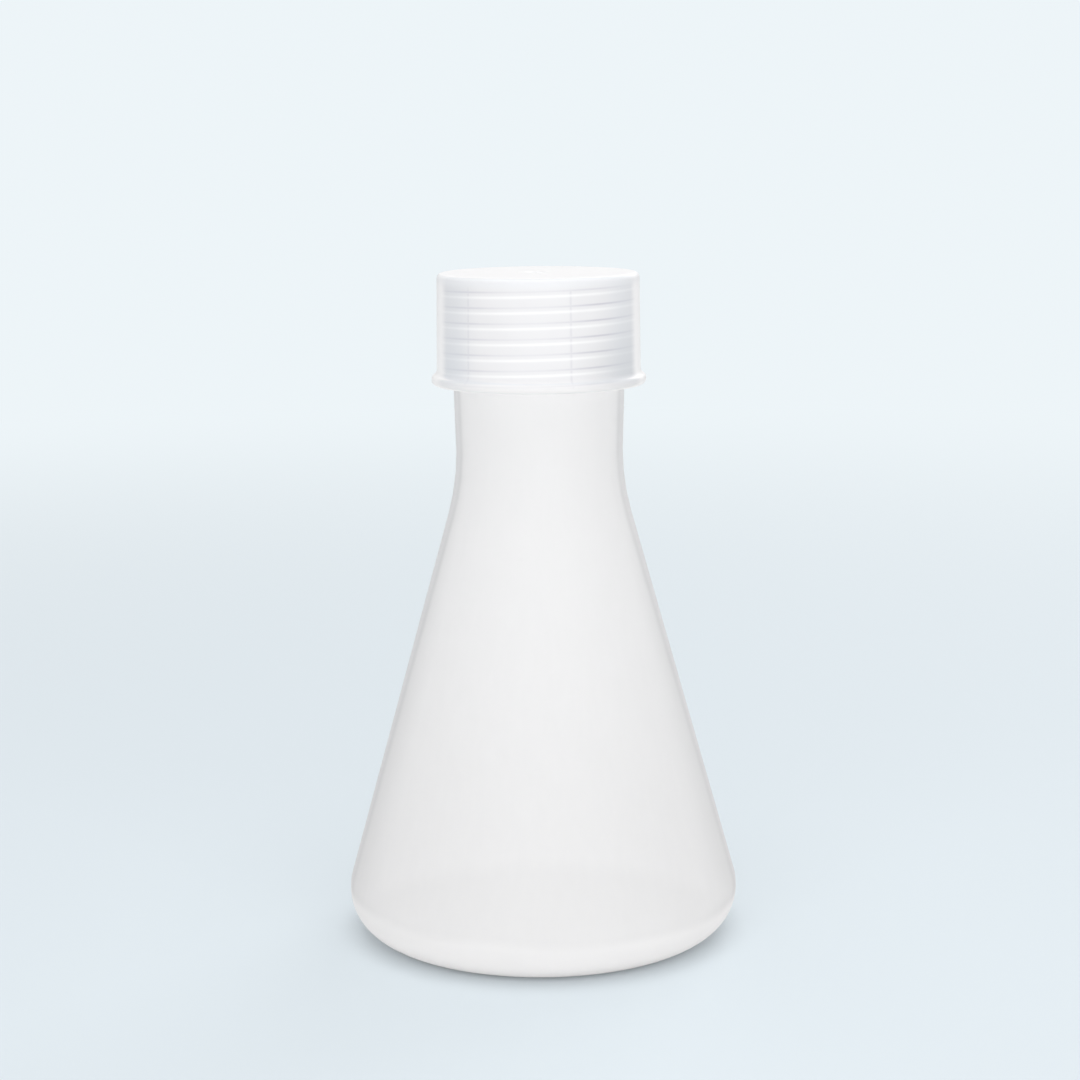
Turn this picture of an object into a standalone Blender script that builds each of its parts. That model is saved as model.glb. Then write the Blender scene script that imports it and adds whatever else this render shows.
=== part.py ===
"""Conical laboratory flask with a screw cap, 500 ml, moulded in natural polypropylene.

The flask stands on Z = 0 with its axis on Z. It comes apart into three pieces: the blown
flask body with a threaded neck, the injection-moulded screw cap, and the soft sealing disc
that the cap presses onto the neck's rim. The thread is right-handed, so a positive turn of
the cap about +Z unscrews it.
"""

import math

import bmesh
import bpy

MM = 0.001

# Flask body
BASE_RADIUS = 52.5 * MM
HEEL_RADIUS = 12.0 * MM
SHOULDER_RADIUS = 61.0 * MM
SHOULDER_TOP = 131.0 * MM
NECK_RADIUS = 22.0 * MM
THREAD_ROOT_RADIUS = 22.5 * MM
BODY_WALL = 1.6 * MM
STANDING_RING_WIDTH = 5.0 * MM
PUSH_UP_HEIGHT = 1.8 * MM
RIM_ROUNDING = 0.6 * MM

# Screw cap
OVERALL_HEIGHT = 178.2 * MM
CAP_HEIGHT = 29.2 * MM
CAP_TOP_RADIUS = 26.6 * MM
CAP_FOOT_RADIUS = 26.9 * MM
CAP_BORE_RADIUS = 24.2 * MM
CAP_TOP_WALL = 2.4 * MM
CAP_CORNER_RADIUS = 1.4 * MM
BEAD_RADIUS = 1.7 * MM
BEAD_REACH = 28.3 * MM
LEAD_IN = 0.5 * MM

# Sealing disc
DISC_RADIUS = 22.6 * MM
DISC_THICKNESS = 1.6 * MM
SEAT_GAP = 0.3 * MM

# Screw thread
PITCH = 4.0 * MM
THREAD_DEPTH = 1.3 * MM
THREAD_CREST_SLOPE = 1.4 * MM
NECK_THREAD_WIDTH = 2.4 * MM
CAP_THREAD_WIDTH = 2.2 * MM
THREAD_EMBED = 0.7 * MM
NECK_THREAD_TURNS = 5.0
CAP_THREAD_TURNS = 5.5
CAP_THREAD_START = 151.7 * MM
CAP_THREAD_START_ANGLE = math.radians(60)
THREAD_SEAT = 1.75 * MM
RUN_OUT_TURNS = 0.125
RUN_OUT_SCALE = 0.3
CORE_SEGMENTS = 6
CORE_LINE_ANGLE = math.radians(-72)
CORE_LINE_WIDTH = 0.7 * MM

# How finely round surfaces are divided
SEGMENTS = 64
THREAD_STEPS = 32
ARC_STEP = math.radians(15)
SMOOTH_ANGLE = math.radians(35)
MERGE = 0.00005

# Heights that follow from the sizes above
CAP_BOTTOM = OVERALL_HEIGHT - CAP_HEIGHT
DISC_BOTTOM = OVERALL_HEIGHT - CAP_TOP_WALL - SEAT_GAP - DISC_THICKNESS
RIM_HEIGHT = DISC_BOTTOM - SEAT_GAP


def clear_scene():
    for leftover in list(bpy.data.objects):
        bpy.data.objects.remove(leftover)


def new_collection(name):
    collection = bpy.data.collections.new(name)
    bpy.context.scene.collection.children.link(collection)
    return collection


def plastic(name, colour, roughness):
    """A moulded plastic: colour is linear RGB, and nothing here is metallic."""
    material = bpy.data.materials.new(name)
    material.use_nodes = True
    shader = material.node_tree.nodes["Principled BSDF"]
    shader.inputs["Base Color"].default_value = (*colour, 1.0)
    shader.inputs["Roughness"].default_value = roughness
    shader.inputs["Metallic"].default_value = 0.0
    return material


def arc(centre, radius, start, end):
    """Points along an arc in the (radius, height) plane, about one for each ARC_STEP."""
    steps = max(2, math.ceil(abs(end - start) / ARC_STEP))
    points = []
    for i in range(steps + 1):
        angle = start + (end - start) * i / steps
        points.append((centre[0] + radius * math.cos(angle), centre[1] + radius * math.sin(angle)))
    return points


def lathe(name, profile, material, collection):
    """A turned solid. The profile starts and ends on the axis, and its outer side runs down."""
    mesh = bpy.data.meshes.new(name)
    vertices = [(radius, 0.0, height) for radius, height in profile]
    edges = [(i, i + 1) for i in range(len(vertices) - 1)]
    mesh.from_pydata(vertices, edges, [])
    mesh.materials.append(material)
    turned = bpy.data.objects.new(name, mesh)
    collection.objects.link(turned)
    screw = turned.modifiers.new("turn", "SCREW")
    screw.steps = SEGMENTS
    screw.render_steps = SEGMENTS
    screw.use_merge_vertices = True
    screw.merge_threshold = MERGE
    screw.use_smooth_shade = True
    return turned


def finish_solid(turned):
    """Applies the piece's modifiers, welds what the booleans split, and shades it smooth with
    its real edges kept sharp."""
    modifier = turned.modifiers.new("weld", "WELD")
    modifier.merge_threshold = MERGE / 10
    graph = bpy.context.evaluated_depsgraph_get()
    mesh = bpy.data.meshes.new_from_object(turned.evaluated_get(graph), depsgraph=graph)
    mesh.shade_smooth()
    mesh.set_sharp_from_angle(angle=SMOOTH_ANGLE)
    turned.modifiers.clear()
    turned.data = mesh


def thread_section(name, width, direction, guides):
    """The closed cross-section of a thread ridge, with its root at x = 0, pointing outwards
    for direction 1 and inwards for direction -1. Its flanks run straight on into the wall."""
    flank = THREAD_CREST_SLOPE / 2 / THREAD_DEPTH
    half_root = width / 2 + flank * THREAD_EMBED
    half_crest = (width - THREAD_CREST_SLOPE) / 2
    reach = direction * (THREAD_EMBED + THREAD_DEPTH)
    outline = [(0, -half_root), (reach, -half_crest), (reach, half_crest), (0, half_root)]
    curve = bpy.data.curves.new(name, "CURVE")
    curve.dimensions = "2D"
    curve.fill_mode = "NONE"
    spline = curve.splines.new("POLY")
    spline.points.add(len(outline) - 1)
    for point, (x, y) in zip(spline.points, outline):
        point.co = (x, y, 0.0, 1.0)
    spline.use_cyclic_u = True
    section = bpy.data.objects.new(name, curve)
    guides.objects.link(section)
    hide_helper(section)
    return section


def hide_helper(helper):
    helper.hide_render = True
    helper.display_type = "WIRE"


def thread_ridge(name, root_radius, start_height, start_angle, turns, width, direction, guides):
    """A helical ridge whose root is sunk THREAD_EMBED into the wall, as a closed mesh. Both
    ends shrink into the wall over RUN_OUT_TURNS."""
    section = thread_section(name + "_section", width, direction, guides)
    path_radius = root_radius - direction * THREAD_EMBED
    steps = round(turns * THREAD_STEPS)
    curve = bpy.data.curves.new(name, "CURVE")
    curve.dimensions = "3D"
    curve.twist_mode = "Z_UP"
    curve.bevel_mode = "OBJECT"
    curve.bevel_object = section
    curve.use_fill_caps = True
    spline = curve.splines.new("POLY")
    spline.points.add(steps)
    for i, point in enumerate(spline.points):
        turned = i / THREAD_STEPS
        angle = start_angle + 2 * math.pi * turned
        height = start_height + PITCH * turned
        point.co = (path_radius * math.cos(angle), path_radius * math.sin(angle), height, 1.0)
        from_end = min(turned, turns - turned)
        share = min(1.0, from_end / RUN_OUT_TURNS)
        point.radius = RUN_OUT_SCALE + (1.0 - RUN_OUT_SCALE) * share
    return mesh_from_curve(bpy.data.objects.new(name, curve), guides)


def mesh_from_curve(swept, guides):
    """Replaces a swept curve by a closed mesh with its end caps welded on."""
    guides.objects.link(swept)
    bpy.context.view_layer.update()
    graph = bpy.context.evaluated_depsgraph_get()
    mesh = bpy.data.meshes.new_from_object(swept.evaluated_get(graph), depsgraph=graph)
    cage = bmesh.new()
    cage.from_mesh(mesh)
    bmesh.ops.remove_doubles(cage, verts=cage.verts, dist=MERGE / 10)
    bmesh.ops.recalc_face_normals(cage, faces=cage.faces)
    cage.to_mesh(mesh)
    cage.free()
    name = swept.name
    placed = swept.matrix_world.copy()
    bpy.data.objects.remove(swept)
    solid = bpy.data.objects.new(name, mesh)
    solid.matrix_world = placed
    guides.objects.link(solid)
    hide_helper(solid)
    return solid


def boolean(target, tool, operation):
    modifier = target.modifiers.new(operation.lower(), "BOOLEAN")
    modifier.operation = operation
    modifier.object = tool
    modifier.solver = "EXACT"


def cone_slope():
    """The angle between the cone's side and the axis: the side is the straight line that is
    tangent to both the convex heel and the concave shoulder."""
    across = (NECK_RADIUS + SHOULDER_RADIUS) - (BASE_RADIUS - HEEL_RADIUS)
    up = SHOULDER_TOP - HEEL_RADIUS
    reach = math.hypot(across, up)
    return math.atan2(up, across) - math.acos((HEEL_RADIUS + SHOULDER_RADIUS) / reach)


def wall_outline(inset):
    """The body's outline from the foot of the heel to the top of the shoulder, moved inwards
    by inset. The heel and the shoulder keep their centres, so the wall is even."""
    slope = cone_slope()
    heel_centre = (BASE_RADIUS - HEEL_RADIUS, HEEL_RADIUS)
    shoulder_centre = (NECK_RADIUS + SHOULDER_RADIUS, SHOULDER_TOP)
    heel = arc(heel_centre, HEEL_RADIUS - inset, -math.pi / 2, slope)
    shoulder = arc(shoulder_centre, SHOULDER_RADIUS + inset, math.pi + slope, math.pi)
    return heel + shoulder


def dome(edge_radius, edge_height, rise):
    """Points from the edge of a shallow dome to its centre on the axis."""
    steps = 4
    points = []
    for i in range(1, steps + 1):
        share = i / steps
        height = edge_height + rise * math.sin(share * math.pi / 2)
        points.append((edge_radius * (1.0 - share), height))
    return points


def body_profile():
    """The body's section, up the inner side from the axis, over the rim and down outside."""
    ring_outer = BASE_RADIUS - HEEL_RADIUS
    ring_inner = ring_outer - STANDING_RING_WIDTH
    bore = THREAD_ROOT_RADIUS - BODY_WALL
    inside = list(reversed(dome(ring_inner, BODY_WALL, PUSH_UP_HEIGHT)))
    inside += [(ring_inner, BODY_WALL)]
    inside += wall_outline(BODY_WALL)
    inner_rim = arc((bore + RIM_ROUNDING, RIM_HEIGHT - RIM_ROUNDING), RIM_ROUNDING, math.pi, math.pi / 2)
    outer_centre = (THREAD_ROOT_RADIUS - RIM_ROUNDING, RIM_HEIGHT - RIM_ROUNDING)
    outer_rim = arc(outer_centre, RIM_ROUNDING, math.pi / 2, 0.0)
    outside = [(THREAD_ROOT_RADIUS, CAP_BOTTOM)]
    outside += list(reversed(wall_outline(0.0)))
    outside += [(ring_inner, 0.0)]
    outside += dome(ring_inner, 0.0, PUSH_UP_HEIGHT)
    return inside + [(bore, CAP_BOTTOM)] + inner_rim + outer_rim + outside


def cap_profile():
    """The cap's section, with heights measured from its own lower edge."""
    corner_centre = (CAP_TOP_RADIUS - CAP_CORNER_RADIUS, CAP_HEIGHT - CAP_CORNER_RADIUS)
    bead_centre = (BEAD_REACH - BEAD_RADIUS, BEAD_RADIUS)
    bead_top = math.acos((CAP_FOOT_RADIUS - bead_centre[0]) / BEAD_RADIUS)
    inner_top = CAP_HEIGHT - CAP_TOP_WALL
    profile = [(0.0, CAP_HEIGHT)]
    profile += arc(corner_centre, CAP_CORNER_RADIUS, math.pi / 2, 0.0)
    profile += arc(bead_centre, BEAD_RADIUS, bead_top, -math.pi / 2)
    profile += [(CAP_BORE_RADIUS + LEAD_IN, 0.0)]
    profile += [(CAP_BORE_RADIUS, LEAD_IN)]
    profile += [(CAP_BORE_RADIUS, inner_top)]
    profile += [(0.0, inner_top)]
    return profile


def disc_profile():
    edge = DISC_THICKNESS / 4
    return [
        (0.0, DISC_THICKNESS),
        (DISC_RADIUS - edge, DISC_THICKNESS),
        (DISC_RADIUS, DISC_THICKNESS - edge),
        (DISC_RADIUS, edge),
        (DISC_RADIUS - edge, 0.0),
        (0.0, 0.0),
    ]


def cap_thread(guides):
    """The cap's inner thread, broken by the joints between the moulding core's segments."""
    ridge = thread_ridge(
        "cap_thread",
        CAP_BORE_RADIUS,
        CAP_THREAD_START,
        CAP_THREAD_START_ANGLE,
        CAP_THREAD_TURNS,
        CAP_THREAD_WIDTH,
        -1,
        guides,
    )
    for i in range(CORE_SEGMENTS // 2):
        bpy.ops.mesh.primitive_cube_add(size=1.0)
        line = bpy.context.object
        line.name = f"core_line_{i}"
        line.scale = (CAP_BORE_RADIUS * 3, CORE_LINE_WIDTH, CAP_HEIGHT * 2)
        line.rotation_euler.z = CORE_LINE_ANGLE + 2 * math.pi * i / CORE_SEGMENTS
        line.location.z = CAP_BOTTOM + CAP_HEIGHT / 2
        move_to(line, guides)
        hide_helper(line)
        boolean(ridge, line, "DIFFERENCE")
    return ridge


def neck_thread(guides):
    """The neck's outer thread. The cap's thread hangs THREAD_SEAT below it, as on a closed cap."""
    return thread_ridge(
        "neck_thread",
        THREAD_ROOT_RADIUS,
        CAP_THREAD_START + THREAD_SEAT,
        CAP_THREAD_START_ANGLE,
        NECK_THREAD_TURNS - THREAD_SEAT / PITCH,
        NECK_THREAD_WIDTH,
        1,
        guides,
    )


def move_to(thing, collection):
    for holder in list(thing.users_collection):
        holder.objects.unlink(thing)
    collection.objects.link(thing)


def build():
    clear_scene()
    parts = new_collection("conical_flask")
    guides = new_collection("cutters_and_guides")
    natural = plastic("natural_polypropylene", (0.86, 0.87, 0.88), 0.35)
    clear = plastic("cap_polypropylene", (0.88, 0.89, 0.92), 0.28)
    foam = plastic("liner_foam", (0.90, 0.90, 0.89), 0.75)

    body = lathe("flask_body", body_profile(), natural, parts)
    boolean(body, neck_thread(guides), "UNION")

    cap = lathe("screw_cap", cap_profile(), clear, parts)
    cap.location.z = CAP_BOTTOM
    boolean(cap, cap_thread(guides), "UNION")

    disc = lathe("cap_liner", disc_profile(), foam, parts)
    disc.location.z = DISC_BOTTOM

    for piece in (body, cap, disc):
        finish_solid(piece)


build()
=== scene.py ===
"""The looks of the conical flask: its moulded skins, plastics, light and camera.

Three pieces stand for the three CAD solids. Each is one closed skin, swept round the axis,
with real screw threads, mould lines and wall thickness. The frame gives the overall sizes,
and the constants below give the rest, in metres.
"""

import math

import bmesh
import bpy
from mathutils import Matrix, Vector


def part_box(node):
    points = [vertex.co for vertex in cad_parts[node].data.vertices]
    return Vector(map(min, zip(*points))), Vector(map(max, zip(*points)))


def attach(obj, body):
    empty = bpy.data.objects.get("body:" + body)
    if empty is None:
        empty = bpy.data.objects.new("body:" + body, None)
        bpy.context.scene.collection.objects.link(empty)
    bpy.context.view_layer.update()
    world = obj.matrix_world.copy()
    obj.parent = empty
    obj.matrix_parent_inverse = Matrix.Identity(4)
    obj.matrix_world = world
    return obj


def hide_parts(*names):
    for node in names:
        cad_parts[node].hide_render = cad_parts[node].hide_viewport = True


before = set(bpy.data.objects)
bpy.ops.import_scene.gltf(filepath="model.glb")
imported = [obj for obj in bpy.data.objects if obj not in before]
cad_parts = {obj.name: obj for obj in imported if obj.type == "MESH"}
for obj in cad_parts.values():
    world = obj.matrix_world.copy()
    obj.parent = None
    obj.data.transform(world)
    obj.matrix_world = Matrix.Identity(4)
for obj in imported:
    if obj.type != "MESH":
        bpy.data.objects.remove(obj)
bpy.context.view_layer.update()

MM = 0.001
TURN = 2 * math.pi

# What the frame says
BODY_LOW, BODY_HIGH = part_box("flask_body")
CAP_LOW, CAP_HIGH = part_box("screw_cap")
LINER_LOW, LINER_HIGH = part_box("cap_liner")
BASE_RADIUS = BODY_HIGH.x
RIM_HEIGHT = BODY_HIGH.z
CAP_BOTTOM = CAP_LOW.z
CAP_TOP = CAP_HIGH.z
BEAD_REACH = CAP_HIGH.x
LINER_RADIUS = LINER_HIGH.x

# Flask body
HEEL_RADIUS = 12.0 * MM
SHOULDER_RADIUS = 61.0 * MM
SHOULDER_TOP = 131.0 * MM
NECK_RADIUS = 22.0 * MM
THREAD_ROOT_RADIUS = 22.5 * MM
BODY_WALL = 1.6 * MM
NECK_EDGE = 1.2 * MM
STANDING_RING_WIDTH = 5.0 * MM
PUSH_UP_HEIGHT = 1.8 * MM
RIM_ROUNDING = 0.6 * MM
PARTING_LINE_ANGLES = (0.0, math.pi)
PARTING_LINE_HEIGHT = 0.10 * MM
HEEL_LINE = HEEL_RADIUS + 2.5 * MM

# Screw cap
CAP_TOP_RADIUS = 26.6 * MM
CAP_FOOT_RADIUS = 26.9 * MM
CAP_BORE_RADIUS = 24.2 * MM
CAP_TOP_WALL = 2.4 * MM
CAP_CORNER_RADIUS = 1.4 * MM
BEAD_RADIUS = 1.1 * MM
BEAD_LAND = 0.5 * MM
BEAD_FILLET = 1.7 * MM
LEAD_IN = 0.5 * MM
GATE_DIMPLE_RADIUS = 3.2 * MM
GATE_DIMPLE_DEPTH = 0.2 * MM
GATE_NUB_RADIUS = 0.7 * MM
# The gate mark's section: shares of the nub's radius, or of the dimple's depth past its edge,
# and how deep, as a share of the dimple's depth
GATE_NUB = ((0.0, 0.2), (0.8, 0.25), (1.0, 0.5), (1.05, 1.0))
GATE_EDGE = ((-1.0, 1.0), (-0.3, 0.65), (0.3, 0.1), (1.0, 0.0))
CORE_SEGMENTS = 6
CORE_LINE_ANGLE = math.radians(-72)
CORE_LINE_HEIGHT = 0.15 * MM

# Sealing disc: the dent of the rim, and where across the rim its points lie
RIM_DENT = 0.12 * MM
RIM_DENT_SHARES = (1.0, 0.6, 0.0, -0.6, -1.0)

# Screw thread
PITCH = 4.0 * MM
THREAD_DEPTH = 1.3 * MM
CREST_HALF = 0.5 * MM
ROOT_HALF = 1.2 * MM
CAP_THREAD_NARROWER = 0.1 * MM
CAP_THREAD_START = 151.7 * MM
CAP_THREAD_TURNS = 5.5
THREAD_START_ANGLE = math.radians(60)
THREAD_SEAT = 1.75 * MM
NECK_THREAD_TURNS = 5.0 - THREAD_SEAT / PITCH
RUN_OUT_TURNS = 0.14
THREAD_TOP_MARGIN = 1.0 * MM
OUTWARD = 1
INWARD = -1

# How finely the skins are divided. A mould line has columns this many degrees beside it.
COLUMNS = 120
LINE_OFFSETS = (-0.7, -0.3, 0.0, 0.3, 0.7)
LINE_FADE = 1.0 * MM
ARC_STEP = math.radians(6)
STRAIGHT_STEP = 4.0 * MM
DOME_STEPS = 10
ROWS_A_PITCH = 20
MERGE = 0.002 * MM
SHARP_ANGLE = math.radians(40)


# Profiles: lists of (radius, height) points


def arc(centre, radius, start, end):
    """Points along an arc, about one for each ARC_STEP."""
    steps = max(2, math.ceil(abs(end - start) / ARC_STEP))
    angles = [start + (end - start) * i / steps for i in range(steps + 1)]
    return [(centre[0] + radius * math.cos(a), centre[1] + radius * math.sin(a)) for a in angles]


def divided(points):
    """The same outline with its long straight stretches divided."""
    result = [points[0]]
    for (r0, z0), (r1, z1) in zip(points, points[1:]):
        parts = max(1, math.ceil(math.hypot(r1 - r0, z1 - z0) / STRAIGHT_STEP))
        for i in range(1, parts + 1):
            share = i / parts
            result.append((r0 + (r1 - r0) * share, z0 + (z1 - z0) * share))
    return result


def cone_slope():
    """The angle between the cone's side and the axis, from the heel and shoulder arcs."""
    across = (NECK_RADIUS + SHOULDER_RADIUS) - (BASE_RADIUS - HEEL_RADIUS)
    up = SHOULDER_TOP - HEEL_RADIUS
    reach = math.hypot(across, up)
    return math.atan2(up, across) - math.acos((HEEL_RADIUS + SHOULDER_RADIUS) / reach)


def wall_outline(inset):
    """From the foot of the heel to the top of the shoulder, moved inwards by inset."""
    slope = cone_slope()
    heel_centre = (BASE_RADIUS - HEEL_RADIUS, HEEL_RADIUS)
    shoulder_centre = (NECK_RADIUS + SHOULDER_RADIUS, SHOULDER_TOP)
    heel = arc(heel_centre, HEEL_RADIUS - inset, -math.pi / 2, slope)
    shoulder = arc(shoulder_centre, SHOULDER_RADIUS + inset, math.pi + slope, math.pi)
    return heel + shoulder


def dome(edge_radius, edge_height, rise):
    """A shallow dome, from just inside its edge to its centre on the axis."""
    points = []
    for i in range(1, DOME_STEPS + 1):
        share = i / DOME_STEPS
        height = edge_height + rise * math.sin(share * math.pi / 2) ** 2
        points.append((edge_radius * (1.0 - share), height))
    return points


def body_inside():
    """Up the inner side, from the axis over the rim to the top of the thread."""
    ring_inner = BASE_RADIUS - HEEL_RADIUS - STANDING_RING_WIDTH
    bore = THREAD_ROOT_RADIUS - BODY_WALL
    points = list(reversed(dome(ring_inner, BODY_WALL, PUSH_UP_HEIGHT)))
    points += [(ring_inner, BODY_WALL)] + wall_outline(BODY_WALL) + [(bore, CAP_BOTTOM)]
    inner_centre = (bore + RIM_ROUNDING, RIM_HEIGHT - RIM_ROUNDING)
    outer_centre = (THREAD_ROOT_RADIUS - RIM_ROUNDING, RIM_HEIGHT - RIM_ROUNDING)
    points += arc(inner_centre, RIM_ROUNDING, math.pi, math.pi / 2)
    points += arc(outer_centre, RIM_ROUNDING, math.pi / 2, 0.0)
    return divided(points)


def body_outside():
    """Down the outer side, from the foot of the thread to the centre of the base."""
    ring_inner = BASE_RADIUS - HEEL_RADIUS - STANDING_RING_WIDTH
    points = [(THREAD_ROOT_RADIUS, CAP_BOTTOM)] + list(reversed(wall_outline(0.0)))
    points += [(ring_inner, 0.0)] + dome(ring_inner, 0.0, PUSH_UP_HEIGHT)
    return divided(points)


def gate_mark():
    """A small nub in a round dimple, from its centre to the cap's flat top."""
    depth = GATE_DIMPLE_DEPTH
    nub = [(GATE_NUB_RADIUS * across, CAP_TOP - depth * down) for across, down in GATE_NUB]
    edge = [(GATE_DIMPLE_RADIUS + depth * past, CAP_TOP - depth * down) for past, down in GATE_EDGE]
    return nub + edge


def cap_outside():
    """From the centre of the cap's top down its outer side and round the bead to the bore."""
    points = gate_mark()
    corner = (CAP_TOP_RADIUS - CAP_CORNER_RADIUS, CAP_TOP - CAP_CORNER_RADIUS)
    points += arc(corner, CAP_CORNER_RADIUS, math.pi / 2, 0.0)
    lower = (BEAD_REACH - BEAD_RADIUS, CAP_BOTTOM + BEAD_RADIUS)
    upper = (lower[0], lower[1] + BEAD_LAND)
    fillet_r = CAP_FOOT_RADIUS + BEAD_FILLET
    reach = BEAD_RADIUS + BEAD_FILLET
    meet = math.acos((fillet_r - upper[0]) / reach)
    fillet = (fillet_r, upper[1] + reach * math.sin(meet))
    points += arc(fillet, BEAD_FILLET, math.pi, math.pi + meet)
    points += arc(upper, BEAD_RADIUS, meet, 0.0)
    points += arc(lower, BEAD_RADIUS, 0.0, -math.pi / 2)
    points += [(CAP_BORE_RADIUS + LEAD_IN, CAP_BOTTOM)]
    points += [(CAP_BORE_RADIUS, CAP_BOTTOM + LEAD_IN)]
    return divided(points)


def cap_ceiling():
    """From the top of the cap's thread to the centre of its ceiling."""
    ceiling = CAP_TOP - CAP_TOP_WALL
    top = thread_top(CAP_THREAD_START, CAP_THREAD_TURNS)
    points = [(CAP_BORE_RADIUS, top)]
    points += arc((CAP_BORE_RADIUS - LEAD_IN, ceiling - LEAD_IN), LEAD_IN, 0.0, math.pi / 2)
    return divided(points + [(0.0, ceiling)])


def liner_outline():
    """The sealing disc, with a shallow ring pressed into its lower face by the rim."""
    low, high = LINER_LOW.z, LINER_HIGH.z
    edge = (high - low) / 4
    rim_mid = THREAD_ROOT_RADIUS - BODY_WALL / 2
    points = [(0.0, high)]
    points += arc((LINER_RADIUS - edge, high - edge), edge, math.pi / 2, 0.0)
    points += arc((LINER_RADIUS - edge, low + edge), edge, 0.0, -math.pi / 2)
    for share in RIM_DENT_SHARES:
        dent = RIM_DENT * (1.0 - share * share)
        points.append((rim_mid + share * BODY_WALL / 2, low + dent))
    return divided(points + [(0.0, low)])


# Skins: bands of rows of points, swept round the axis


def smooth(share):
    """An even step from 0 to 1, flat at both ends."""
    share = min(1.0, max(0.0, share))
    return share * share * (3 - 2 * share)


def line_bump(angle, lines, height, low, high):
    """1 on a mould line, falling to 0 beside it and at both ends of its band."""
    nearest = min(abs((angle - line + math.pi) % TURN - math.pi) for line in lines)
    across = max(0.0, 1.0 - nearest / math.radians(LINE_OFFSETS[-1]))
    return across * smooth((height - low) / LINE_FADE) * smooth((high - height) / LINE_FADE)


def column_angles(lines):
    """Even columns, and closer ones at each mould line."""
    angles = {round(TURN * i / COLUMNS, 6) for i in range(COLUMNS)}
    for line in lines:
        angles |= {round((line + math.radians(offset)) % TURN, 6) for offset in LINE_OFFSETS}
    return sorted(angles)


def turned_band(profile, angles, lines=(), line_height=0.0):
    """Rows of points round the axis, one for each point of the profile. The mould lines stand
    out by line_height along the profile's outward side, but not at the axis."""
    low = min(height for radius, height in profile)
    high = max(height for radius, height in profile)
    rows = []
    for i, (radius, height) in enumerate(profile):
        before, after = profile[max(i - 1, 0)], profile[min(i + 1, len(profile) - 1)]
        along = (after[0] - before[0], after[1] - before[1])
        length = math.hypot(*along) or 1.0
        outward = (-along[1] / length, along[0] / length)
        stands_out = line_height * smooth(radius / LINE_FADE)
        row = []
        for angle in angles:
            rise = stands_out * line_bump(angle, lines, height, low, high) if lines else 0.0
            r = radius + rise * outward[0]
            z = height + rise * outward[1]
            row.append((r * math.cos(angle), r * math.sin(angle), z))
        rows.append(row)
    return {"rows": rows, "turn": 0}


def ridge_height(angle, height, start, turns, root_half, crest_half):
    """How far the thread stands out at a point of the wall, from 0 to 1."""
    round_axis = (angle - THREAD_START_ANGLE) / TURN
    turn = round((height - start) / PITCH - round_axis)
    along = turn + round_axis
    if along <= 0.0 or along >= turns:
        return 0.0
    off = abs(height - start - PITCH * along)
    flank = 1.0 - smooth((off - crest_half) / (root_half - crest_half))
    return flank * smooth(min(along, turns - along) / RUN_OUT_TURNS)


def thread_top(start, turns):
    """The height where a thread's band ends, a little above its last turn."""
    return start + PITCH * turns + THREAD_TOP_MARGIN


def threaded_band(radius, low, high, start, turns, direction, angles, lines, line_height):
    """Rows that climb with the thread, from low to high, so that the ridge stays smooth. After
    one turn each row meets the row one pitch above it. The rows start below low and end above
    high, and are held between the two."""
    narrower = CAP_THREAD_NARROWER if direction == INWARD else 0.0
    crest_half = CREST_HALF - narrower
    root_half = ROOT_HALF - narrower
    first = low + (start - low) % PITCH - PITCH * (1 + THREAD_START_ANGLE / TURN)
    pitches = math.ceil((high - first) / PITCH) + 1
    rows = []
    for k in range(pitches * ROWS_A_PITCH):
        row = []
        for angle in angles:
            height = first - PITCH + PITCH * (k / ROWS_A_PITCH + angle / TURN)
            height = min(max(height, low), high)
            share = ridge_height(angle, height, start, turns, root_half, crest_half)
            r = radius + direction * THREAD_DEPTH * share
            r += direction * line_height * line_bump(angle, lines, height, low, high)
            row.append((r * math.cos(angle), r * math.sin(angle), height))
        rows.append(row)
    return {"rows": rows, "turn": ROWS_A_PITCH}


def skin(name, bands, material):
    """One closed mesh from bands that meet at their ends. A band's turn is how many rows up
    its last column meets its first."""
    points, faces = [], []
    for band in bands:
        rows, turn = band["rows"], band["turn"]
        first, width = len(points), len(rows[0])
        for row in rows:
            points.extend(row)
        for k in range(len(rows) - 1):
            for i in range(width):
                last = i == width - 1
                step = turn if last else 0
                if k + 1 + step >= len(rows):
                    continue
                here = first + k * width + i
                beside = first + (k + step) * width + (0 if last else i + 1)
                faces.append((here, beside, beside + width, here + width))
    mesh = bpy.data.meshes.new(name)
    mesh.from_pydata(points, [], faces)
    cage = bmesh.new()
    cage.from_mesh(mesh)
    bmesh.ops.remove_doubles(cage, verts=cage.verts, dist=MERGE)
    bmesh.ops.dissolve_degenerate(cage, edges=cage.edges, dist=MERGE)
    loose = [v for v in cage.verts if not v.link_faces]
    bmesh.ops.delete(cage, geom=loose, context="VERTS")
    bmesh.ops.recalc_face_normals(cage, faces=cage.faces)
    cage.to_mesh(mesh)
    cage.free()
    mesh.shade_smooth()
    mesh.set_sharp_from_angle(angle=SHARP_ANGLE)
    mesh.materials.append(material)
    piece = bpy.data.objects.new(name, mesh)
    bpy.context.scene.collection.objects.link(piece)
    return piece


# Materials

PLASTIC_IOR = 1.49
EVEN_SCATTER = (1.0, 1.0, 1.0)

# Colour sockets of a Mix node
MIX_FIRST_COLOUR = 6
MIX_SECOND_COLOUR = 7
MIX_RESULT_COLOUR = 2


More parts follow.
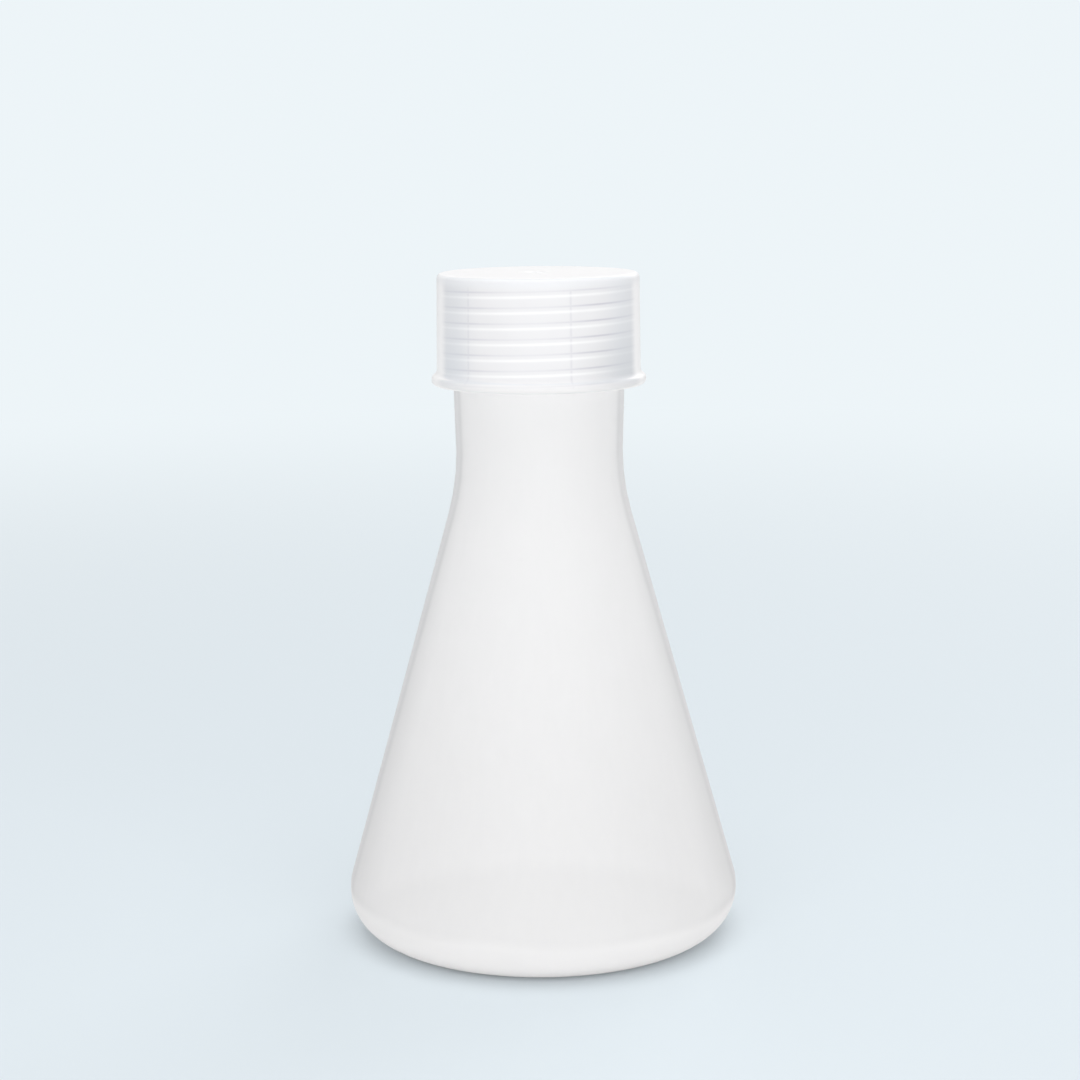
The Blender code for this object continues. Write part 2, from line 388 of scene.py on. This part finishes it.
class Nodes:
    """A small helper that adds nodes to one material and links them."""

    def __init__(self, name):
        self.material = bpy.data.materials.new(name)
        self.material.use_nodes = True
        self.tree = self.material.node_tree
        self.shader = self.tree.nodes["Principled BSDF"]

    def add(self, kind, **settings):
        node = self.tree.nodes.new(kind)
        for key, value in settings.items():
            setattr(node, key, value)
        return node

    def link(self, value, socket):
        """Feeds a socket from another node's output, or sets it to a plain value."""
        if hasattr(value, "is_linked"):
            self.tree.links.new(value, socket)
        else:
            socket.default_value = value

    def set(self, name, value):
        self.link(value, self.shader.inputs[name])

    def scatter(self, weight, depth, gloss):
        """Lets light spread this deep into a plastic."""
        self.set("IOR", PLASTIC_IOR)
        self.set("Subsurface Weight", weight)
        self.set("Subsurface Radius", EVEN_SCATTER)
        self.set("Subsurface Scale", depth)
        self.set("Specular IOR Level", gloss)

    def math(self, operation, *values):
        node = self.add("ShaderNodeMath", operation=operation)
        for value, socket in zip(values, node.inputs):
            self.link(value, socket)
        return node.outputs[0]

    def times(self, first, second):
        return self.math("MULTIPLY", first, second)

    def straight(self, value, slope, start):
        return self.math("MULTIPLY_ADD", value, slope, start)

    def bell(self, away):
        """1 where away is 0, falling smoothly on both sides."""
        return self.math("EXPONENT", self.times(self.times(away, away), -1.0))

    def place(self):
        return self.add("ShaderNodeTexCoord").outputs["Object"]

    def split(self, vector):
        node = self.add("ShaderNodeSeparateXYZ")
        self.link(vector, node.inputs[0])
        return node.outputs

    def height(self):
        return self.split(self.place())["Z"]

    def flattened(self, vector):
        node = self.add("ShaderNodeVectorMath", operation="MULTIPLY")
        self.link(vector, node.inputs[0])
        node.inputs[1].default_value = (1.0, 1.0, 0.0)
        return node.outputs[0]

    def dot(self, first, second):
        node = self.add("ShaderNodeVectorMath", operation="DOT_PRODUCT")
        self.link(first, node.inputs[0])
        self.link(second, node.inputs[1])
        return node.outputs["Value"]

    def off_axis(self):
        """The distance from the flask's axis."""
        flat = self.flattened(self.place())
        return self.math("SQRT", self.dot(flat, flat))

    def drop_through(self):
        """How far a line of sight falls between the near wall and the far one."""
        seen = self.add("ShaderNodeNewGeometry").outputs["Incoming"]
        flat = self.flattened(seen)
        across = self.dot(self.place(), flat)
        run = self.math("MAXIMUM", self.dot(flat, flat), LEAST_RUN)
        slope = self.math("DIVIDE", self.split(seen)["Z"], run)
        return self.times(self.times(across, 2.0), slope)

    def facing(self):
        """0 where the surface faces the viewer, 1 at the object's outline."""
        return self.add("ShaderNodeLayerWeight").outputs["Facing"]

    def near_outline(self, facing, depth, width):
        """A soft line at this depth inside the outline, as the viewer sees a round piece."""
        toward = self.math("SUBTRACT", 1.0, facing)
        share = self.math("SQRT", self.math("SUBTRACT", 1.0, self.times(toward, toward)))
        radius = self.off_axis()
        inside = self.math("SUBTRACT", radius, self.times(radius, share))
        return self.bell(self.math("DIVIDE", self.math("SUBTRACT", inside, depth), width))

    def scaled_place(self, scale):
        node = self.add("ShaderNodeMapping")
        self.link(self.place(), node.inputs["Vector"])
        node.inputs["Scale"].default_value = scale
        return node.outputs[0]

    def noise(self, vector, scale, detail=3.0):
        node = self.add("ShaderNodeTexNoise")
        self.link(vector, node.inputs["Vector"])
        node.inputs["Scale"].default_value = scale
        node.inputs["Detail"].default_value = detail
        return node.outputs["Fac"]

    def blend(self, share, first, second):
        node = self.add("ShaderNodeMix", data_type="RGBA")
        self.link(share, node.inputs["Factor"])
        self.link(first, node.inputs[MIX_FIRST_COLOUR])
        self.link(second, node.inputs[MIX_SECOND_COLOUR])
        return node.outputs[MIX_RESULT_COLOUR]

    def tint(self, share, under, tint):
        """Lays a tint over a colour: the tint is its colour, and how much of it shows at most."""
        colour, most = tint
        return self.blend(self.times(share, most), under, colour)

    def ramp(self, value, start, end):
        """Climbs smoothly from 0 at start to 1 at end."""
        node = self.add("ShaderNodeMapRange", interpolation_type="SMOOTHSTEP")
        self.link(value, node.inputs["Value"])
        node.inputs["From Min"].default_value = start
        node.inputs["From Max"].default_value = end
        return node.outputs["Result"]

    def line(self, phase, place, width):
        """A soft line, 1 at its middle, wherever the phase's fraction is at place."""
        shifted = self.math("FRACT", self.math("ADD", phase, 0.5 - place))
        return self.bell(self.math("DIVIDE", self.math("SUBTRACT", shifted, 0.5), width))

    def bump(self, height, distance):
        node = self.add("ShaderNodeBump")
        self.link(height, node.inputs["Height"])
        node.inputs["Distance"].default_value = distance
        return node.outputs["Normal"]


def grey(value, blue=0.0):
    """A near-white linear colour, a little cooler as blue grows."""
    return (value - blue, value - blue * 0.4, value + blue * 0.3, 1.0)


def violet(value, tint):
    """A near-white linear colour that leans to violet as tint grows."""
    return (value - tint * 0.6, value - tint * 0.8, value + tint, 1.0)


# Flask plastic. A pair of colours is blended by noise, and a tint is a colour with the most that it
# covers; the tints here are painted light and shade.
# Places are heights, or how far the surface turns from the viewer (facing).
STREAK_STRETCH = (1.0, 1.0, 0.06)
STREAK_SCALE = 420.0
STREAK_SHARE = 0.6
FLASK_CLOUD_SCALE = 45.0
UPPER_FLASK_WALL = (grey(0.955, 0.002), grey(0.985))
LOWER_FLASK_WALL = (grey(0.835, 0.002), grey(0.87))
LOWER_FLASK_WALL_HEIGHT = 1.5 * HEEL_RADIUS
PAINTED_LIGHT_UNDER_CAP = grey(1.0)
UNDER_CAP_FADE = 9.0 * MM
SEEN_FLOOR_SHADE = (grey(0.60), 0.11)
FLOOR_FADE = 4.0 * MM
LEAST_RUN = 0.01
FLASK_EDGE_SHADE = (grey(0.56, 0.004), 0.56)
FLASK_EDGE_FACING = (0.40, 0.9)
INNER_SIDE_SHADE = (grey(0.45, 0.01), 0.25)
INNER_SIDE_WIDTH = 0.5 * MM
THIN_EDGE_SHARE = 0.5
HEEL_PAINTED_LIGHT = (grey(0.905), 0.85)
HEEL_WANDER = 5.0 * MM
HEEL_WANDER_SCALE = 18.0
HEEL_FADE = (1.2 * MM, -2.2 * MM)
FLASK_ROUGHNESS = 0.42
FLASK_ROUGHNESS_SPREAD = 0.10
FLASK_SCATTER = {"weight": 0.7, "depth": 5.0 * MM, "gloss": 0.25}
STIPPLE_SCALE = 2600.0
STIPPLE_SHARE = 0.35
FLASK_RELIEF = 0.02 * MM


def flask_plastic():
    """Milky blow-moulded polypropylene: satin, faintly streaked up the wall. The wall is greyer
    from the shoulder down and whiter in the neck.
    Painted light whitens the neck under the cap and the heel, and painted shade darkens the wall
    towards its outline."""
    nodes = Nodes("flask_plastic")
    streaks = nodes.noise(nodes.scaled_place(STREAK_STRETCH), STREAK_SCALE)
    clouds = nodes.noise(nodes.place(), FLASK_CLOUD_SCALE)
    some_clouds = nodes.times(clouds, 1.0 - STREAK_SHARE)
    shade = nodes.math("ADD", nodes.times(streaks, STREAK_SHARE), some_clouds)
    height = nodes.height()
    toward_base = nodes.ramp(height, SHOULDER_TOP, LOWER_FLASK_WALL_HEIGHT)
    wall = nodes.blend(toward_base, nodes.blend(shade, *UPPER_FLASK_WALL), nodes.blend(shade, *LOWER_FLASK_WALL))
    # Painted light: the neck is whiter just under the cap, where the bead shades it
    lit_under_cap = nodes.ramp(height, CAP_BOTTOM - UNDER_CAP_FADE, CAP_BOTTOM)
    wall = nodes.blend(lit_under_cap, wall, PAINTED_LIGHT_UNDER_CAP)

    # Painted shade: the flask's floor shows through as a darker tone where the line of sight ends
    # on it
    far_end = nodes.math("SUBTRACT", height, nodes.drop_through())
    on_floor = nodes.ramp(far_end, BODY_WALL + FLOOR_FADE, BODY_WALL - FLOOR_FADE)
    wall = nodes.tint(on_floor, wall, SEEN_FLOOR_SHADE)

    # Painted shade: the wall darkens towards the outline, and its inner side shows through as a
    # dark line one wall depth inside the outline
    facing = nodes.facing()
    wall = nodes.tint(nodes.ramp(facing, *FLASK_EDGE_FACING), wall, FLASK_EDGE_SHADE)
    wall_seen = nodes.straight(toward_base, NECK_EDGE * -THIN_EDGE_SHARE, NECK_EDGE)
    inner_side = nodes.near_outline(facing, wall_seen, INNER_SIDE_WIDTH)
    wall = nodes.tint(inner_side, wall, INNER_SIDE_SHADE)

    # Painted light: the heel is whiter below a wandering line, as if lit by the pale table under it
    wandering = nodes.noise(nodes.place(), HEEL_WANDER_SCALE, detail=1.0)
    wander = nodes.straight(wandering, HEEL_WANDER, height)
    lit_heel = nodes.ramp(wander, *(HEEL_LINE + offset for offset in HEEL_FADE))
    nodes.set("Base Color", nodes.tint(lit_heel, wall, HEEL_PAINTED_LIGHT))
    nodes.set("Roughness", nodes.straight(clouds, FLASK_ROUGHNESS_SPREAD, FLASK_ROUGHNESS))
    nodes.scatter(**FLASK_SCATTER)
    stipple = nodes.noise(nodes.place(), STIPPLE_SCALE, detail=2.0)
    relief = nodes.math("ADD", nodes.times(stipple, STIPPLE_SHARE), streaks)
    nodes.set("Normal", nodes.bump(relief, FLASK_RELIEF))
    return nodes.material


# Thread lines seen through the cap's wall: a line of painted shade and a line of painted highlight
# a turn. Places and widths are shares of a pitch, measured up from the middle of the ridge, and the
# joints' width is a share of a core segment.
THREAD_SHADE_LINE = {"place": 0.235, "width": 0.06}
THREAD_HIGHLIGHT_LINE = {"place": 0.235 - 0.335, "width": 0.09}
THREAD_HIGHLIGHT_STRENGTH = 0.9
CORE_JOINT = {"place": 0.0, "width": 0.011}
CORE_JOINT_STRENGTH = 0.45
LINES_LOW = (CAP_THREAD_START - 1.5 * MM, CAP_THREAD_START - 0.5 * MM)
LINES_HIGH = (2.4 * MM, 1.0 * MM)

# Where round the cap, as shares of half a turn, the painted shade lines are strong and fairly
# strong; the painted highlight lines are brightest on one side, as if lit from there
STRONG_SIDE = {"place": -52 / 180, "width": 0.11}
FAIR_SIDE = {"place": -135 / 180, "width": 0.10}
FAIR_STRENGTH = 0.6
THREAD_SHADE_LEAST = 0.28
THREAD_HIGHLIGHT_SIDE = math.radians(-100)
THREAD_HIGHLIGHT_SWING = 0.45

# Cap plastic, with the same kinds of value as the flask plastic
CAP_CLOUD_SCALE = 60.0
CAP_WALL = (violet(0.785, 0.006), violet(0.825, 0.004))
THREAD_SHADE_TINT = (violet(0.58, 0.03), 0.62)
THREAD_HIGHLIGHT_TINT = (grey(0.97), 0.7)
SHADE_BESIDE_NECK = grey(0.71, 0.065)
BESIDE_NECK_FROM = (0.15, 0.45)
BESIDE_NECK_TO = (0.72, 0.56)
BESIDE_NECK_HIGH = 0.33
BESIDE_NECK_LOWER = 0.22
LOWER_WALL = (CAP_TOP - 8.0 * MM, CAP_BOTTOM + 4.0 * MM)
SHADED_TINT = (grey(0.61, 0.02), 0.35)
SHADED_SIDE = (8.0 * MM, 20.0 * MM)
PAINTED_RIM_LIGHT = grey(0.96)
BRIGHT_EDGE_FACING = (0.56, 0.74)
BEAD_PAINTED_LIGHT = (grey(0.82, -0.012), 0.6)
BEAD_ZONE = (CAP_BOTTOM + 4.0 * MM, CAP_BOTTOM)
CORNER_PAINTED_LIGHT = (grey(0.85, 0.025), 0.6)
CORNER_ZONE = (CAP_TOP - 3.5 * MM, CAP_TOP - CAP_CORNER_RADIUS)
TOP_ZONE = (CAP_TOP - 0.3 * MM, CAP_TOP - 0.1 * MM)
TOP_OVER_GAP = grey(0.73, 0.01)
TOP_OVER_LINER = grey(0.79, 0.005)
TOP_PAINTED_LIGHT = grey(0.99)
TOP_FACING = (0.45, 0.80)
LINER_EDGE_FADE = 0.4 * MM
CAP_ROUGHNESS = 0.30
CAP_ROUGHNESS_SPREAD = 0.06
CAP_SCATTER = {"weight": 0.3, "depth": 1.2 * MM, "gloss": 0.3}
HAZE_SCALE = 1800.0
CAP_RELIEF = 0.006 * MM


def thread_lines(nodes, angle, z):
    """How strong the painted thread shade lines, with the core joints, and the painted highlight
    lines are at an angle and height of the cap.
    """
    turned = nodes.math("DIVIDE", nodes.math("SUBTRACT", angle, THREAD_START_ANGLE), TURN)
    climbed = nodes.math("DIVIDE", nodes.math("SUBTRACT", z, CAP_THREAD_START), PITCH)
    phase = nodes.math("SUBTRACT", climbed, turned)
    from_joint = nodes.math("SUBTRACT", angle, CORE_LINE_ANGLE)
    section = nodes.math("DIVIDE", from_joint, TURN / CORE_SEGMENTS)
    top = CAP_THREAD_START + PITCH * CAP_THREAD_TURNS
    low = nodes.ramp(z, *LINES_LOW)
    high = nodes.ramp(z, *(top + offset for offset in LINES_HIGH))
    within = nodes.times(low, high)

    half_turns = nodes.math("DIVIDE", angle, math.pi)
    strength = nodes.straight(nodes.line(half_turns, **STRONG_SIDE), 1.0, THREAD_SHADE_LEAST)
    strength = nodes.straight(nodes.line(half_turns, **FAIR_SIDE), FAIR_STRENGTH, strength)
    dark = nodes.times(nodes.line(phase, **THREAD_SHADE_LINE), strength)
    joint = nodes.times(nodes.line(section, **CORE_JOINT), CORE_JOINT_STRENGTH)
    dark = nodes.math("MAXIMUM", dark, joint)

    lit = nodes.math("COSINE", nodes.math("SUBTRACT", angle, THREAD_HIGHLIGHT_SIDE))
    light = nodes.times(nodes.line(phase, **THREAD_HIGHLIGHT_LINE), THREAD_HIGHLIGHT_STRENGTH)
    light = nodes.times(light, nodes.straight(lit, THREAD_HIGHLIGHT_SWING, 1.0 - THREAD_HIGHLIGHT_SWING))
    return nodes.times(dark, within), nodes.times(light, within)


def cap_plastic():
    """Translucent injection-moulded polypropylene. Its thread shows through the wall as painted
    shade and a painted highlight, a dark and a light line a turn, and the joints of its moulding
    core as faint upright lines."""
    nodes = Nodes("cap_plastic")
    x, y, z = nodes.split(nodes.place())
    dark, light = thread_lines(nodes, nodes.math("ARCTAN2", y, x), z)
    clouds = nodes.noise(nodes.place(), CAP_CLOUD_SCALE)
    wall = nodes.blend(clouds, *CAP_WALL)
    wall = nodes.tint(dark, wall, THREAD_SHADE_TINT)
    wall = nodes.tint(light, wall, THREAD_HIGHLIGHT_TINT)

    # Painted shade: the wall is darker where it is seen beside the neck, most of all low down and
    # on the right
    facing = nodes.facing()
    beside_neck = nodes.times(
        nodes.ramp(facing, *BESIDE_NECK_FROM), nodes.ramp(facing, *BESIDE_NECK_TO)
    )
    lower = nodes.ramp(z, *LOWER_WALL)
    depth = nodes.straight(lower, BESIDE_NECK_LOWER, BESIDE_NECK_HIGH)
    wall = nodes.tint(beside_neck, wall, (SHADE_BESIDE_NECK, depth))
    shaded = nodes.times(nodes.ramp(x, *SHADED_SIDE), lower)
    wall = nodes.tint(shaded, wall, SHADED_TINT)
    # Painted light: lighter along the outline, on the bead and in the band under the top corner
    wall = nodes.blend(nodes.ramp(facing, *BRIGHT_EDGE_FACING), wall, PAINTED_RIM_LIGHT)
    wall = nodes.tint(nodes.ramp(z, *BEAD_ZONE), wall, BEAD_PAINTED_LIGHT)
    wall = nodes.tint(nodes.ramp(z, *CORNER_ZONE), wall, CORNER_PAINTED_LIGHT)

    # The top shows the disc under it from above, and painted light makes it white when seen almost
    # edge on
    over_liner = nodes.ramp(
        nodes.off_axis(), LINER_RADIUS + LINER_EDGE_FADE, LINER_RADIUS - LINER_EDGE_FADE
    )
    seen_through = nodes.blend(over_liner, TOP_OVER_GAP, TOP_OVER_LINER)
    top_face = nodes.blend(nodes.ramp(facing, *TOP_FACING), seen_through, TOP_PAINTED_LIGHT)
    nodes.set("Base Color", nodes.blend(nodes.ramp(z, *TOP_ZONE), wall, top_face))
    nodes.set("Roughness", nodes.straight(clouds, CAP_ROUGHNESS_SPREAD, CAP_ROUGHNESS))
    nodes.scatter(**CAP_SCATTER)
    haze = nodes.noise(nodes.place(), HAZE_SCALE, detail=2.0)
    nodes.set("Normal", nodes.bump(haze, CAP_RELIEF))
    return nodes.material


LINER_CELL_SCALE = 3200.0
LINER_COLOURS = (grey(0.80), grey(0.90))
LINER_ROUGHNESS = 0.75
LINER_RELIEF = 0.03 * MM


def liner_foam():
    """White closed-cell sealing sheet."""
    nodes = Nodes("liner_foam")
    cells = nodes.noise(nodes.place(), LINER_CELL_SCALE)
    nodes.set("Base Color", nodes.blend(cells, *LINER_COLOURS))
    nodes.set("Roughness", LINER_ROUGHNESS)
    nodes.set("Normal", nodes.bump(cells, LINER_RELIEF))
    return nodes.material


# Pieces


def stand_in(piece, body, node):
    """The piece rides on the body and replaces the CAD solid."""
    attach(piece, body)
    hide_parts(node)


def make_flask():
    angles = column_angles(PARTING_LINE_ANGLES)
    start = CAP_THREAD_START + THREAD_SEAT
    top = RIM_HEIGHT - RIM_ROUNDING
    thread = threaded_band(
        THREAD_ROOT_RADIUS, CAP_BOTTOM, top, start, NECK_THREAD_TURNS, OUTWARD,
        angles, PARTING_LINE_ANGLES, PARTING_LINE_HEIGHT,
    )
    outside = turned_band(body_outside(), angles, PARTING_LINE_ANGLES, PARTING_LINE_HEIGHT)
    inside = turned_band(body_inside(), angles)
    piece = skin("flask_shell", [inside, thread, outside], flask_plastic())
    stand_in(piece, "flask", "flask_body")


def make_cap():
    """The cap. It casts no shadow and blocks no bounced light, as light comes through its wall."""
    lines = [CORE_LINE_ANGLE + TURN * i / CORE_SEGMENTS for i in range(CORE_SEGMENTS)]
    angles = column_angles(lines)
    low = CAP_BOTTOM + LEAD_IN
    high = thread_top(CAP_THREAD_START, CAP_THREAD_TURNS)
    thread = threaded_band(
        CAP_BORE_RADIUS, low, high, CAP_THREAD_START, CAP_THREAD_TURNS, INWARD,
        angles, lines, CORE_LINE_HEIGHT,
    )
    outside = turned_band(cap_outside(), angles)
    ceiling = turned_band(cap_ceiling(), angles)
    piece = skin("cap_shell", [outside, thread, ceiling], cap_plastic())
    stand_in(piece, "cap", "screw_cap")
    piece.visible_shadow = False
    piece.visible_diffuse = False


def make_liner():
    piece = skin("liner_disc", [turned_band(liner_outline(), column_angles(()))], liner_foam())
    stand_in(piece, "liner", "cap_liner")


# Stage, light and camera

FLOOR_RADIUS = 1.6
FLOOR_SEGMENTS = 96
FLOOR_COLOUR = (0.70, 0.77, 0.81, 1.0)
FLOOR_ROUGHNESS = 0.7
TABLE_COLOUR = (0.85, 0.85, 0.85, 1.0)
GLOW_RADIUS = 0.30
GLOW_STRENGTH = 0.10
FADE_FROM = FLOOR_RADIUS * 0.12
FADE_TO = FLOOR_RADIUS * 0.75
BACKDROP_COLOUR = (0.85, 0.91, 0.94, 1.0)
AMBIENT_COLOUR = (1.0, 0.996, 1.005, 1.0)
AMBIENT_STRENGTH = 0.635

# Softboxes: name, place, width and height, watts
SOFTBOXES = (
    ("key", (0.06, -1.4, 0.85), (2.6, 1.2), 6.1),
    ("low", (0.0, -1.2, 0.15), (1.8, 0.28), 3.0),
    ("top", (0.0, 0.0, 1.5), (1.4, 1.4), 8.5),
    ("back", (0.7, 1.3, 1.0), (1.0, 1.0), 3.5),
)

CAMERA_PLACE = (0.0009, -0.65, 0.2200)
CAMERA_PITCH = math.radians(9.87)
CAMERA_ROLL = math.radians(0.5)
CAMERA_LENS = 82.35
CAMERA_SENSOR = 36.0


def make_floor():
    """A pale floor that fades into the pale background away from the flask. It lights the
    flask like a white table that glows a little round its foot, and the camera sees a cooler
    tone without the glow."""
    mesh = bpy.data.meshes.new("floor")
    cage = bmesh.new()
    bmesh.ops.create_circle(cage, cap_ends=True, segments=FLOOR_SEGMENTS, radius=FLOOR_RADIUS)
    cage.to_mesh(mesh)
    cage.free()
    floor = bpy.data.objects.new("floor", mesh)
    bpy.context.scene.collection.objects.link(floor)
    nodes = Nodes("floor_paint")
    seen = nodes.add("ShaderNodeLightPath").outputs["Is Camera Ray"]
    nodes.set("Base Color", nodes.blend(seen, TABLE_COLOUR, FLOOR_COLOUR))
    nodes.set("Roughness", FLOOR_ROUGHNESS)
    distance = nodes.add("ShaderNodeVectorMath", operation="LENGTH")
    nodes.link(nodes.place(), distance.inputs[0])
    glow = nodes.ramp(distance.outputs["Value"], GLOW_RADIUS, 0.0)
    strength = nodes.times(nodes.math("SUBTRACT", 1.0, seen), GLOW_STRENGTH)
    nodes.set("Emission Color", TABLE_COLOUR)
    nodes.set("Emission Strength", nodes.times(glow, strength))
    far = nodes.add("ShaderNodeEmission")
    far.inputs["Color"].default_value = BACKDROP_COLOUR
    mix = nodes.add("ShaderNodeMixShader")
    nodes.link(nodes.ramp(distance.outputs["Value"], FADE_FROM, FADE_TO), mix.inputs[0])
    nodes.link(nodes.shader.outputs[0], mix.inputs[1])
    nodes.link(far.outputs[0], mix.inputs[2])
    nodes.link(mix.outputs[0], nodes.tree.nodes["Material Output"].inputs["Surface"])
    mesh.materials.append(nodes.material)


def make_world():
    """Even pale light from all round. The camera sees a brighter, cooler tone."""
    world = bpy.data.worlds.new("studio")
    world.use_nodes = True
    tree = world.node_tree
    lit = tree.nodes["Background"]
    lit.inputs["Color"].default_value = AMBIENT_COLOUR
    lit.inputs["Strength"].default_value = AMBIENT_STRENGTH
    seen = tree.nodes.new("ShaderNodeBackground")
    seen.inputs["Color"].default_value = BACKDROP_COLOUR
    path = tree.nodes.new("ShaderNodeLightPath")
    mix = tree.nodes.new("ShaderNodeMixShader")
    tree.links.new(path.outputs["Is Camera Ray"], mix.inputs[0])
    tree.links.new(lit.outputs[0], mix.inputs[1])
    tree.links.new(seen.outputs[0], mix.inputs[2])
    tree.links.new(mix.outputs[0], tree.nodes["World Output"].inputs["Surface"])
    bpy.context.scene.world = world
    bpy.context.scene.view_settings.view_transform = "Standard"


def make_softboxes():
    """Soft lights that point at the middle of the flask's axis."""
    middle = (BODY_LOW + CAP_HIGH) / 2
    middle.x = middle.y = 0.0
    for name, place, size, watts in SOFTBOXES:
        data = bpy.data.lights.new(name, "AREA")
        data.shape = "RECTANGLE"
        data.size, data.size_y = size
        data.energy = watts
        light = bpy.data.objects.new(name, data)
        light.location = place
        light.rotation_euler = (light.location - middle).to_track_quat("Z", "Y").to_euler()
        bpy.context.scene.collection.objects.link(light)


def make_camera():
    data = bpy.data.cameras.new("camera")
    data.lens = CAMERA_LENS
    data.sensor_width = CAMERA_SENSOR
    camera = bpy.data.objects.new("camera", data)
    camera.location = CAMERA_PLACE
    camera.rotation_euler = (math.pi / 2 - CAMERA_PITCH, CAMERA_ROLL, 0.0)
    bpy.context.scene.collection.objects.link(camera)
    bpy.context.scene.camera = camera


make_flask()
make_cap()
make_liner()
make_floor()
make_world()
make_softboxes()
make_camera()
